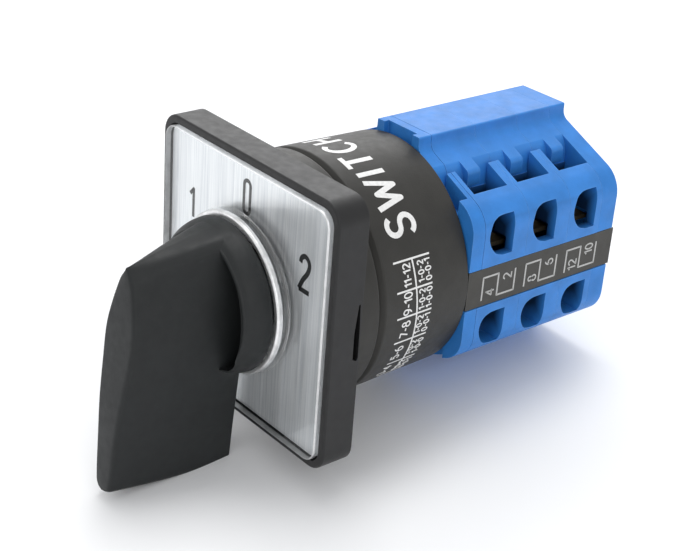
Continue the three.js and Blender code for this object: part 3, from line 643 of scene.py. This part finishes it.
def make_bezel():
    plate = slab(PLATE_HALF, CORNER, PLATE_FRONT, 0, 0.4)
    recess = prism(square(COVER_EDGE + 0.2, CORNER - 1.1), PLATE_FRONT - 1, PLATE_FLOOR)
    holes = []
    for side, up in CORNERS:
        holes.append(rod(PANEL_HOLE_R, PLATE_FRONT - 1, 1, PANEL_HOLE * side, PANEL_HOLE * up))
    own = [rod(SCREW_HEAD_R, PLATE_FRONT, SCREW_SEAT, 0, PLATE_SCREW_Z * up) for up in ROWS.values()]
    slot = prism(PRY_SLOT, PLATE_HALF - 3.2, PLATE_HALF + 1, axis="X")
    cut(plate, recess, rod(SPIGOT_BORE, PLATE_FRONT, 1, steps=64), *holes, *own, slot)
    inner, outer = GROOVE
    groove = lathe([(inner, GROOVE_FLOOR), (outer, GROOVE_FLOOR), (outer, 1), (inner, 1)])
    cut(plate, groove)
    bevel(plate, 0.12, 2, 40)
    settle(plate, "front_bezel", "bezel_plastic", ["bezel"])


COVER_FRONT = PLATE_FRONT - 0.8
COLLAR_R = 14.1                 # the raised clear ring round the hub


def make_cover():
    levels = [
        (square(COVER_EDGE, 2.9), COVER_BACK),
        (square(COVER_EDGE, 2.9), COVER_FRONT + 0.25),
        (square(COVER_EDGE - 0.08, 2.8), COVER_FRONT + 0.08),
        (square(COVER_EDGE - 0.25, 2.65), COVER_FRONT),
    ]
    sheet = stack(levels)
    cut(sheet, rod(COLLAR_R - 1, COVER_FRONT - 1, COVER_BACK + 1, steps=96))
    settle(sheet, "dial_cover", "clear_plastic", ["clear_cover"], sharp=12)
    sheet.data.materials.append(MATERIALS["edge_clear"])
    for poly in sheet.data.polygons:
        outside = max(abs(poly.center.x), abs(poly.center.z)) > (COVER_EDGE - 1.5) * MM
        if outside and abs(poly.normal.y) < 0.95:
            poly.material_index = 1
    bore = SPIGOT_BORE + 0.1
    inner = COLLAR_R - 1.1
    profile = [(bore, COVER_BACK), (bore, COVER_FRONT), (inner - 0.3, COVER_FRONT)]
    profile += [(inner, COVER_FRONT - 0.3), (inner, COLLAR_FRONT + 0.95)]
    profile += [(COLLAR_R, COLLAR_FRONT + 0.95), (COLLAR_R, COVER_FRONT - 0.3)]
    profile += [(COLLAR_R + 0.3, COVER_FRONT - 0.02), (COLLAR_R + 0.3, COVER_FRONT + 0.02)]
    profile += [(inner, COVER_FRONT + 0.02), (inner, COVER_BACK)]
    settle(lathe(profile, 160), "cover_collar", "clear_plastic", ["clear_cover"], sharp=30)
    rim = rounded([
        (inner, COLLAR_FRONT + 0.93, 0), (inner, COLLAR_FRONT, 0.2),
        (COLLAR_R, COLLAR_FRONT, 0.45), (COLLAR_R, COLLAR_FRONT + 0.93, 0),
    ], 4)
    settle(lathe(rim, 160), "collar_rim", "bright_clear", ["clear_cover"], sharp=30)


make_bezel()
make_cover()


def assign(node, slot):
    """Gives a CAD node that is shown as it is its detailed material."""
    obj = frame["nodes"][node]
    obj.data.materials.clear()
    obj.data.materials.append(MATERIALS[slot])


for part in frame["record"]["subparts"]:
    assign(part["node"], part["material_slot"])

# ---- neck ring and housing -------------------------------------------------------------------------

NECK_WALL = 2.4
NECK_WEB = 2.6
NECK_BORE = 6.5
HOUSING_WALL = 2.9
HOUSING_WEB = 2.2
HOUSING_BORE = 5
HOUSING_TAPER = 0.5             # how much smaller its radius is at the back
BOSS_R = 3.2


def make_neck():
    inner = RING_R - NECK_WALL
    web = RING_BACK - NECK_WEB
    profile = rounded([
        (inner, RING_FRONT - 0.25, 0), (RING_R, RING_FRONT - 0.25, 0.1),
        (RING_R, RING_BACK, 0.5), (NECK_BORE, RING_BACK, 0.2),
        (NECK_BORE, web, 0.2), (inner, web, 0.4),
    ], 4)
    neck = lathe(profile, 160)
    cut(neck, *[rod(SCREW_R, 2, 7, 0, PLATE_SCREW_Z * up) for up in ROWS.values()])
    settle(neck, "neck_ring", "housing_plastic", ["mounting_ring"])


def make_housing():
    back = HOUSING_BACK + 0.12
    inner = HOUSING_R - HOUSING_WALL
    web = HOUSING_FRONT + HOUSING_WEB
    profile = rounded([
        (HOUSING_BORE, HOUSING_FRONT - 0.2, 0.2), (HOUSING_R - 1.2, HOUSING_FRONT - 0.2, 0.3),
        (HOUSING_R, HOUSING_FRONT + 1.0, 0.6), (HOUSING_R - HOUSING_TAPER, back, 0.35),
        (inner, back, 0.2), (inner, web, 0.5), (HOUSING_BORE, web, 0.2),
    ], 5)
    body = lathe(profile, 160)
    bosses = [rod(BOSS_R, 8, back - 0.1, 0, BOLT_Z * up) for up in ROWS.values()]
    join(body, *bosses)
    cut(body, *[rod(SCREW_R, 14, back + 1, 0, BOLT_Z * up) for up in ROWS.values()])
    rails = []
    for side, up in CORNERS:
        xs = sorted((side * 10, side * (inner + 0.1)))
        zs = sorted((up * 3.4, up * 4.8))
        rails.append(box(xs, (8, 18), zs))
    join(body, *rails)
    settle(body, "round_housing", "housing_plastic", ["housing"])


make_neck()
make_housing()

# ---- blue block ------------------------------------------------------------------------------------

FLAT_X = 5.5
ROLL = [(8.2, 19.2), (9.3, 18.4), (10.1, 17.2), (10.6, 15.6), (10.75, 13.6)]
SEAM = 0.04                     # the gap between two slices
RIB_FRONT = 28.2                # front of the base's ribs, behind its corners
TOP_NOTCH = (3.7, 1.1, 19.6)    # the notch in the flat's front edge: half width, depth and lowest z
WEB = 1.2                       # a stage's front wall
CHAMBER = (19.1, 7.2)           # the contact chamber's half width and half height
CAM_CHAMBER_R = 8.3
POCKET_X = (11.0, 16.2)         # the screw pockets, and their depths from the stage's front
POCKET_Y = (0.9, 8.8)
POCKET_LOW = 6.7
TONGUE_X = 11.9                 # the tip of the tongue that stands in each pocket
TONGUE_Z = 14.6                 # and its lower face
TONGUE_HALF = 1.45              # and half its width
WIRE_HEIGHTS = {1: (5.0, 12.4), -1: (-12.7, -5.8)}       # lowest and highest z of each wire entry
WIRE_BACK = 7.0                 # its straight end, from the stage's front
WIRE_CURVE = [                  # its round end, as a depth and a share of its height
    (4.6, 1.0), (3.2, 0.975), (1.8, 0.86), (1.1, 0.6), (1.55, 0.33), (3.0, 0.09), (4.8, 0.0),
]


def slope_at(x):
    (x0, z0), (x1, z1) = SLOPE
    return z0 + (z1 - z0) * (x - x0) / (x1 - x0)


def block_outline():
    quarter = [(BLOCK_X, slope_at(BLOCK_X), 5.6), (FLAT_X, slope_at(FLAT_X), 2.0), (FLAT_X, BLOCK_Z, 0.3)]
    corners = list(quarter)
    corners += [(-x, z, r) for x, z, r in reversed(quarter)]
    corners += [(-x, -z, r) for x, z, r in quarter]
    corners += [(x, -z, r) for x, z, r in reversed(quarter)]
    return rounded(corners, 10)


def strip_grooves(y0, y1):
    for side in SIDES.values():
        xs = sorted((side * (STRIP_IN - 0.3), side * (BLOCK_X + 1)))
        yield box(xs, (y0 - 1, y1 + 1), (STRIP_LOW - 0.15, STRIP_HIGH + 0.15))


def bores(y0, y1):
    yield rod(SHAFT_HOLE_R, y0 - 1, y1 + 1)
    for up in ROWS.values():
        yield rod(SCREW_R, y0 - 1, y1 + 1, 0, BOLT_Z * up)


def rolls(y0, y1):
    curve = smooth(ROLL, 4)
    outer = POCKET_X[0] + 0.05
    inner = ROLL[0][0] - 1.2
    for side, up in CORNERS:
        outline = [(x, z) for x, z in curve]
        outline += [(outer, ROLL[-1][1]), (outer, BLOCK_Z), (inner, BLOCK_Z), (inner, 19.62)]
        yield prism([(side * x, up * z) for x, z in outline], y0 - 1, y1 + 1)


def make_base():
    y0, y1 = BASE_FRONT, STAGE_FRONTS[0] - SEAM
    base = prism(block_outline(), y0, y1)
    cut(base, *strip_grooves(y0, y1), *bores(y0, y1), *rolls(y0, y1))
    for side, up in CORNERS:
        xs = sorted((side * ROLL[-1][0], side * SLOPE[1][0]))
        zs = sorted((up * (SLOPE[1][1] - 3), up * BLOCK_Z))
        cut(base, box(xs, (y0 - 1, RIB_FRONT), zs))
    half, depth, lowest = TOP_NOTCH
    for up in ROWS.values():
        zs = sorted((up * lowest, up * (BLOCK_Z + 1)))
        cut(base, box((-half, half), (y0 - 1, y0 + depth), zs))
    bevel(base, 0.16, 2)
    settle(base, "block_base", "blue_plastic", ["base_plate"])


def wire_entry(side, up, front):
    """A D-shaped hole in the side wall, straight at the back."""
    low, high = WIRE_HEIGHTS[up]
    outline = [(front + y, low + (high - low) * share) for y, share in smooth(WIRE_CURVE, 4)]
    outline += [(front + WIRE_BACK, low), (front + WIRE_BACK, high)]
    xs = sorted((side * (POCKET_X[1] - 1), side * (BLOCK_X + 1)))
    return prism(outline, *xs, axis="X")


def make_stage(index, front, back):
    stage = prism(block_outline(), front + SEAM / 2, back - SEAM / 2)
    cut(stage, *strip_grooves(front, back), *bores(front, back), *rolls(front, back))
    half, height = CHAMBER
    cut(stage, box((-half, half), (front + WEB, back + 1), (-height, height)))
    cut(stage, rod(CAM_CHAMBER_R, front + WEB, back + 1, steps=48))
    for side, up in CORNERS:
        xs = sorted((side * POCKET_X[0], side * POCKET_X[1]))
        zs = sorted((up * POCKET_LOW, up * BLOCK_Z))
        cut(stage, box(xs, (front + POCKET_Y[0], front + POCKET_Y[1]), zs), wire_entry(side, up, front))
    middle = front + sum(POCKET_Y) / 2
    tongues = []
    for side, up in CORNERS:
        root = SLOPE[0][0]
        outline = rounded([
            (root, slope_at(root), 0), (TONGUE_X, slope_at(TONGUE_X), 1.1),
            (TONGUE_X, TONGUE_Z, 0.2), (root, TONGUE_Z, 0),
        ], 5)
        outline = [(side * x, up * z) for x, z in outline]
        tongues.append(prism(outline, middle - TONGUE_HALF, middle + TONGUE_HALF))
    join(stage, *tongues)
    bevel(stage, 0.16, 2)
    settle(stage, f"switch_stage_{index}", "stage_plastic", [f"stage_body_{index}"])


def make_cap():
    cap = prism(block_outline(), CAP_FRONT + SEAM / 2, CAP_BACK)
    cut(cap, *strip_grooves(CAP_FRONT, CAP_BACK), *bores(CAP_FRONT, CAP_BACK))
    bevel(cap, 0.3, 3)
    settle(cap, "rear_cap", "blue_plastic", ["end_cap"])


make_base()
for number, front in zip(STAGES, STAGE_FRONTS):
    following = STAGE_FRONTS[number] if number < len(STAGES) else CAP_FRONT
    make_stage(number, front, following)
make_cap()

# ---- printed marks ---------------------------------------------------------------------------------

GLYPHS = {                      # a width and the lines to draw, for a height of 1
    "0": (0.54, [oval(0.27, 0.5, 0.27, 0.5, 90, 450, 28)]),
    "1": (0.3, [[(0.0, 0.76), (0.26, 1.0), (0.26, 0.0)]]),
    "2": (0.56, [oval(0.28, 0.73, 0.26, 0.27, 165, -30) + [(0.02, 0.0), (0.57, 0.0)]]),
    "3": (0.54, [oval(0.25, 0.76, 0.24, 0.24, 150, -80), oval(0.25, 0.27, 0.28, 0.27, 80, -150)]),
    "4": (0.6, [[(0.44, 0.0), (0.44, 1.0), (0.0, 0.3), (0.6, 0.3)]]),
    "5": (0.54, [[(0.5, 1.0), (0.08, 1.0), (0.04, 0.54)] + oval(0.25, 0.32, 0.28, 0.32, 125, -150)]),
    "6": (0.56, [oval(0.28, 0.3, 0.27, 0.3, 90, 450, 24), oval(0.42, 0.3, 0.41, 0.7, 180, 95, 10)]),
    "7": (0.54, [[(0.0, 1.0), (0.54, 1.0), (0.16, 0.0)]]),
    "8": (0.56, [oval(0.28, 0.76, 0.22, 0.24, 90, 450, 24), oval(0.28, 0.27, 0.28, 0.27, 90, 450, 24)]),
    "9": (0.56, [oval(0.28, 0.7, 0.27, 0.3, 90, 450, 24), oval(0.14, 0.7, 0.41, 0.7, 0, -85, 10)]),
    "-": (0.34, [[(0.0, 0.45), (0.34, 0.45)]]),
    "S": (0.56, [oval(0.28, 0.75, 0.26, 0.25, 25, 270) + oval(0.28, 0.25, 0.28, 0.25, 90, -155)[1:]]),
    "W": (0.96, [[(0.0, 1.0), (0.24, 0.03), (0.48, 0.8), (0.72, 0.03), (0.96, 1.0)]]),
    "I": (0.02, [[(0.01, 1.0), (0.01, 0.0)]]),
    "T": (0.58, [[(0.0, 1.0), (0.58, 1.0)], [(0.29, 1.0), (0.29, 0.0)]]),
    "C": (0.58, [oval(0.32, 0.5, 0.32, 0.5, 48, 312)]),
    "H": (0.56, [[(0.0, 1.0), (0.0, 0.0)], [(0.56, 1.0), (0.56, 0.0)], [(0.0, 0.5), (0.56, 0.5)]]),
}
INK = 0.03                      # how far a print stands off its surface


class Ink:
    """Lines printed on a surface. place(u, v, lift) gives a point of that surface."""

    def __init__(self):
        self.bm = bmesh.new()

    def line(self, points, width, place):
        """A line of ink. Its sharp corners are closed with round dots."""
        start = 0
        for i in range(1, len(points) - 1):
            before = Vector(points[i]) - Vector(points[i - 1])
            after = Vector(points[i + 1]) - Vector(points[i])
            if before.length > 1e-6 and after.length > 1e-6 and before.angle(after) > 0.9:
                self.band(points[start:i + 1], width, place)
                self.dot(points[i], width / 2, place)
                start = i
        self.band(points[start:], width, place)

    def dot(self, centre, radius, place):
        outline = [(centre[0] + u, centre[1] + v) for u, v in arc(0, 0, radius, 0, 360, 14)[:-1]]
        rings = [[self.bm.verts.new(place(u, v, lift)) for u, v in outline] for lift in (INK * 0.98, -INK)]
        for i in range(len(outline)):
            j = (i + 1) % len(outline)
            self.bm.faces.new((rings[0][i], rings[0][j], rings[1][j], rings[1][i]))
        for ring in rings:
            self.bm.faces.new(ring)

    def band(self, points, width, place):
        """A band of ink along a smooth line."""
        dense = [Vector(points[0])]
        for a, b in zip(points, points[1:]):
            a, b = Vector(a), Vector(b)
            parts = max(1, math.ceil((b - a).length / 0.8))
            dense += [a.lerp(b, (k + 1) / parts) for k in range(parts)]
        ways = [(b - a).normalized() for a, b in zip(dense, dense[1:])]
        rings = []
        for i, point in enumerate(dense):
            before = ways[max(i - 1, 0)]
            after = ways[min(i, len(ways) - 1)]
            across = (before + after).normalized()
            normal = Vector((-across.y, across.x))
            reach = width / 2 / max(0.5, normal.dot(Vector((-after.y, after.x))))
            left, right = point + normal * reach, point - normal * reach
            ring = [(left, INK), (right, INK), (right, -INK), (left, -INK)]
            rings.append([self.bm.verts.new(place(q.x, q.y, lift)) for q, lift in ring])
        for first, second in zip(rings, rings[1:]):
            for k in range(4):
                j = (k + 1) % 4
                self.bm.faces.new((first[k], first[j], second[j], second[k]))
        self.bm.faces.new(rings[0])
        self.bm.faces.new(rings[-1])

    def text(self, words, height, width, place, gap=0.26, centred=True):
        """Words in a plain line font. They start at u = 0, or are centred on it."""
        widths = [GLYPHS[c][0] + gap if c in GLYPHS else 0.4 for c in words]
        u = -(sum(widths) - gap) / 2 if centred else 0
        for character, wide in zip(words, widths):
            for stroke in GLYPHS[character][1] if character in GLYPHS else []:
                self.line([((u + a) * height, b * height) for a, b in stroke], width, place)
            u += wide

    def done(self, name, slot):
        mesh = bpy.data.meshes.new(name)
        bmesh.ops.recalc_face_normals(self.bm, faces=self.bm.faces)
        self.bm.to_mesh(mesh)
        self.bm.free()
        obj = bpy.data.objects.new(name, mesh)
        bpy.context.scene.collection.objects.link(obj)
        settle(obj, name, slot)


def shifted(place, du, dv):
    """The same surface with its origin moved."""
    return lambda u, v, lift: place(u + du, v + dv, lift)


def on_dial(u, v, lift):
    return u, DIAL_FRONT - lift, v


def housing_radius(y):
    """The housing tapers a little to the back."""
    share = (y - HOUSING_FRONT - 1) / (HOUSING_BACK - HOUSING_FRONT - 1)
    return HOUSING_R - HOUSING_TAPER * min(max(share, 0), 1)


def on_housing(angle, y):
    """A print that starts at an angle in degrees from +X to +Z and runs round the housing."""
    def place(u, v, lift):
        turn = math.radians(angle) + u / HOUSING_R
        radius = housing_radius(y - v) + lift
        return radius * math.cos(turn), y - v, radius * math.sin(turn)
    return place


def on_strip(side, y, z):
    """A print on a marker strip, that reads from below to above on the right side of the switch."""
    return lambda u, v, lift: (side * (STRIP_OUT + lift), y - v, z + side * u)


DIAL_ZERO = [(-0.85, 13.5, 0.85), (0.85, 13.5, 0.84), (0.85, 19.3, 0.85), (-0.85, 19.3, 0.84)]
DIAL_TWO = [(0.1, 4.6), (0.35, 5.5), (1.2, 6.0), (2.1, 5.5), (2.35, 4.5), (1.9, 3.2), (0.9, 1.8), (0.0, 0.0)]


def print_dial():
    ink = Ink()
    zero = rounded(DIAL_ZERO, 5)
    ink.line([(-16.6, 11.0), (-15.6, 12.1), (-15.6, 6.9)], 0.66, on_dial)
    ink.line([(-0.4 + u, v) for u, v in [*zero, zero[0]]], 0.66, on_dial)
    ink.line([(14.3 + u, 6.3 + v) for u, v in smooth(DIAL_TWO)], 0.85, on_dial)
    ink.line([(14.3, 6.3), (16.9, 6.3)], 0.85, on_dial)
    ink.done("dial_digits", "dark_print")


TABLE_ROWS = [24.5, 11.0, -1.5, -15.0, -30.0, -44.0]     # rules across the table, in degrees
TABLE_TOP = [9.6, 9.7, 9.9, 10.4, 11.3, 12.2]            # where each starts
TABLE_BACK = 17.6


def print_housing():
    ink = Ink()
    ink.text("SWITCH", 5.7, 0.98, on_housing(35.5, 16.2), gap=0.3, centred=False)
    for angle, front in zip(TABLE_ROWS, TABLE_TOP):
        place = on_housing(angle, TABLE_BACK)
        ink.line([(0, 0), (0, TABLE_BACK - front)], 0.32, place)
    for (start, end), label in zip(zip(TABLE_ROWS, TABLE_ROWS[1:]), ("11-12", "9-10", "7-8", "5-6", "3-4")):
        middle = (start + end) / 2
        ink.text(label, 1.5 if len(label) > 4 else 1.7, 0.27, on_housing(middle, 13.0), gap=0.2)
        ink.text("1-0-2", 1.2, 0.24, on_housing(middle, 15.9), gap=0.24)
        second = "1-0-0" if label in ("9-10", "5-6") else "0-0-1"
        ink.text(second, 1.2, 0.24, on_housing(middle, 17.5), gap=0.24)
    sweep = math.radians(TABLE_ROWS[0] - TABLE_ROWS[-1]) * HOUSING_R
    ink.line([(0, 0.2), (-sweep, -1.3)], 0.3, on_housing(TABLE_ROWS[0], 13.9))
    ink.done("housing_print", "white_print")


def print_strips():
    numbers = {1: (("4", "2"), ("8", "6"), ("12", "10")), -1: (("3", "1"), ("7", "5"), ("11", "9"))}
    for name, side in SIDES.items():
        ink = Ink()
        for front, (first, second) in zip(STAGE_FRONTS, numbers[side]):
            flat = on_strip(side, front, -0.45)
            bracket = [(-2.5, -0.85), (1.9, -0.85), (1.9, -4.5), (-2.3, -4.5), (-2.3, -8.6), (1.9, -8.6)]
            ink.line(bracket, 0.34, flat)
            ink.text(first, 1.9, 0.28, shifted(flat, -1.3, -3.7), gap=0.2)
            ink.text(second, 1.9, 0.28, shifted(flat, 0.9, -7.7), gap=0.2)
        ink.done(f"strip_print_{name}", "grey_print")


print_dial()
print_housing()
print_strips()

# ---- floor, light and camera -----------------------------------------------------------------------

FLOOR_FRONT = Vector((0, -33.0, -32.0))     # the handle's tail and the block's lower edge rest on it
FLOOR_BACK = Vector((0, 62.4, -22.7))
FLOOR_SIZE = 8                              # metres, so that it has no edge in any view
VIEW_POINT = Vector((-7.347, 24.0, -7.648))  # what the camera looks at
VIEW_AZIMUTH, VIEW_ELEVATION, VIEW_ROLL = 48.744, 26.361, -4.46
VIEW_DISTANCE = 277.27
LENS = 77.61
SHIFT_Y = -0.0067


def make_floor():
    slope = (FLOOR_BACK - FLOOR_FRONT).normalized()
    tilt = math.atan2(slope.z, slope.y)
    bm = bmesh.new()
    bmesh.ops.create_grid(bm, x_segments=8, y_segments=8, size=FLOOR_SIZE)
    mesh = bpy.data.meshes.new("floor")
    bm.to_mesh(mesh)
    bm.free()
    floor = bpy.data.objects.new("floor", mesh)
    bpy.context.scene.collection.objects.link(floor)
    floor.matrix_world = Matrix.Translation(FLOOR_FRONT * MM) @ Matrix.Rotation(tilt, 4, "X")
    s = Shader("floor_paper", (0.92, 0.925, 0.935), 0.7)
    s.link(s.between(s.noise(40, 2), 0.65, 0.75), s.main.inputs["Roughness"])
    floor.data.materials.append(s.material)


def area_light(name, place, target, size, power):
    light = bpy.data.lights.new(name, "AREA")
    light.shape = "RECTANGLE"
    light.size, light.size_y = size
    light.energy = power
    obj = bpy.data.objects.new(name, light)
    bpy.context.scene.collection.objects.link(obj)
    obj.location = Vector(place)
    obj.rotation_euler = (Vector(target) - Vector(place)).to_track_quat("-Z", "Y").to_euler()


def make_camera():
    azimuth, elevation, roll = (math.radians(a) for a in (VIEW_AZIMUTH, VIEW_ELEVATION, VIEW_ROLL))
    flat = math.cos(elevation)
    back = Vector((math.sin(azimuth) * flat, -math.cos(azimuth) * flat, math.sin(elevation)))
    right = Vector((math.cos(azimuth), math.sin(azimuth), 0))
    up = back.cross(right)
    rolled_right = math.cos(roll) * right - math.sin(roll) * up
    rolled_up = math.sin(roll) * right + math.cos(roll) * up
    camera = bpy.data.cameras.new("camera")
    camera.lens = LENS
    camera.sensor_width = 36
    camera.shift_y = SHIFT_Y
    camera.clip_start = 0.01
    obj = bpy.data.objects.new("camera", camera)
    bpy.context.scene.collection.objects.link(obj)
    turn = Matrix((rolled_right, rolled_up, back)).transposed().to_4x4()
    obj.matrix_world = Matrix.Translation((VIEW_POINT + back * VIEW_DISTANCE) * MM) @ turn
    bpy.context.scene.camera = obj


def make_light():
    world = bpy.data.worlds.new("studio")
    bpy.context.scene.world = world
    world.use_nodes = True
    world.node_tree.nodes["Background"].inputs["Color"].default_value = (0.985, 0.99, 1, 1)
    world.node_tree.nodes["Background"].inputs["Strength"].default_value = 0.74
    area_light("top_softbox", (-0.12, 0.12, 0.75), (0, 0.02, 0), (0.32, 0.32), 2.3)
    area_light("back_softbox", (-0.72, 0.66, 0.5), (0, 0.03, 0), (0.8, 0.5), 3.3)
    area_light("right_softbox", (0.65, -0.25, 0.35), (0, 0.02, 0), (0.5, 0.5), 0.9)
    area_light("front_softbox", (-0.5, -0.7, 0.35), (0, 0, 0), (0.5, 0.5), 0.9)
    bpy.context.scene.view_settings.view_transform = "Standard"


make_floor()
make_light()
make_camera()
